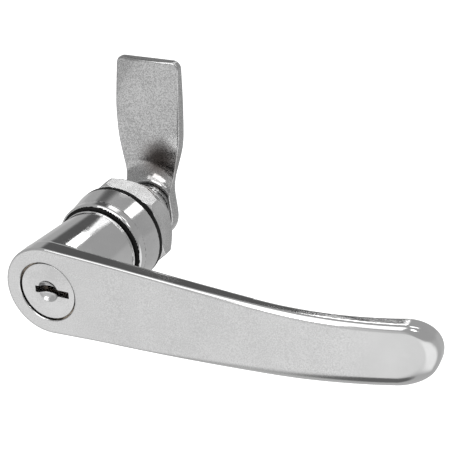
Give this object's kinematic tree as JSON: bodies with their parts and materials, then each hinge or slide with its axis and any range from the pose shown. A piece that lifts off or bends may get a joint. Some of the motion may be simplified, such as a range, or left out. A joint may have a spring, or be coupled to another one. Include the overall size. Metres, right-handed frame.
{
  "type": "keyed cam latch",
  "caption": "Keyed quarter-turn latch: an L-shaped lever with a lock in its head, a round bezel, gasket, panel nut and flat cam.",
  "frame": {"origin": "on the spindle axis, in the plane where the back of the bezel meets the gasket", "axes": "+Y along the spindle, into the panel; +X along the lever; +Z along the cam, up"},
  "size_m": [0.1104, 0.0637, 0.0576],
  "materials": {
    "lever_chrome": "satin chrome plate",
    "lock_chrome": "bright chrome plate",
    "bezel_chrome": "bright chrome plate",
    "seal_rubber": "matt black rubber",
    "nut_plated": "satin nickel plate",
    "cam_plated": "grainy zinc plate",
    "lock_brass": "plain turned and stamped brass",
    "pin_steel": "plain ground steel",
    "spring_steel": "dark oiled spring steel",
    "washer_steel": "zinc-plated steel",
    "screw_steel": "zinc-plated steel"
  },
  "bodies": {
    "housing": {"housing": "bezel_chrome", "neck_seal": "seal_rubber", "stop_pin": "pin_steel", "thrust_washer": "washer_steel", "gasket": "seal_rubber"},
    "nut": {"hex_nut": "nut_plated"},
    "handle": {"lever": "lever_chrome", "lock_shell": "lock_brass", "shell_pin": "pin_steel", "spindle_oring": "seal_rubber", "rear_washer": "washer_steel", "circlip": "spring_steel", "cam": "cam_plated", "cam_washer": "washer_steel", "spring_washer": "spring_steel", "cam_screw": "screw_steel"},
    "plug": {"plug": "lock_chrome", "plug_clip": "spring_steel", "drive_cam": "pin_steel", "wafer_springs": "spring_steel"},
    "bolt": {"locking_bolt": "pin_steel", "bolt_pin": "pin_steel"},
    "wafer_1": {"wafer_1": "lock_brass"},
    "wafer_2": {"wafer_2": "lock_brass"},
    "wafer_3": {"wafer_3": "lock_brass"},
    "wafer_4": {"wafer_4": "lock_brass"},
    "wafer_5": {"wafer_5": "lock_brass"}
  },
  "joints": [
    {"name": "handle_turn", "type": "hinge", "parent": "housing", "child": "handle", "pos_m": [0, 0, 0], "axis": [0, 1, 0], "range_deg": [0, 90]},
    {"name": "plug_turn", "type": "hinge", "parent": "handle", "child": "plug", "pos_m": [0, -0.02, 0], "axis": [0, 1, 0], "range_deg": [0, 90]},
    {"name": "bolt_slide", "type": "slide", "parent": "handle", "child": "bolt", "axis": [0, 0, -1], "range_m": [0, 0.0021]},
    {"name": "nut_travel", "type": "slide", "parent": "housing", "child": "nut", "axis": [0, 1, 0], "range_m": [0, 0.0028]},
    {"name": "wafer_1_slide", "type": "slide", "parent": "plug", "child": "wafer_1", "axis": [1, 0, 0], "range_m": [0, 0.0009]},
    {"name": "wafer_2_slide", "type": "slide", "parent": "plug", "child": "wafer_2", "axis": [-1, 0, 0], "range_m": [0, 0.0009]},
    {"name": "wafer_3_slide", "type": "slide", "parent": "plug", "child": "wafer_3", "axis": [1, 0, 0], "range_m": [0, 0.0009]},
    {"name": "wafer_4_slide", "type": "slide", "parent": "plug", "child": "wafer_4", "axis": [-1, 0, 0], "range_m": [0, 0.0009]},
    {"name": "wafer_5_slide", "type": "slide", "parent": "plug", "child": "wafer_5", "axis": [1, 0, 0], "range_m": [0, 0.0009]}
  ],
  "couplings": [
    {"joint": "bolt_slide", "follows": "plug_turn", "m_per_rad": 0.0013369}
  ]
}
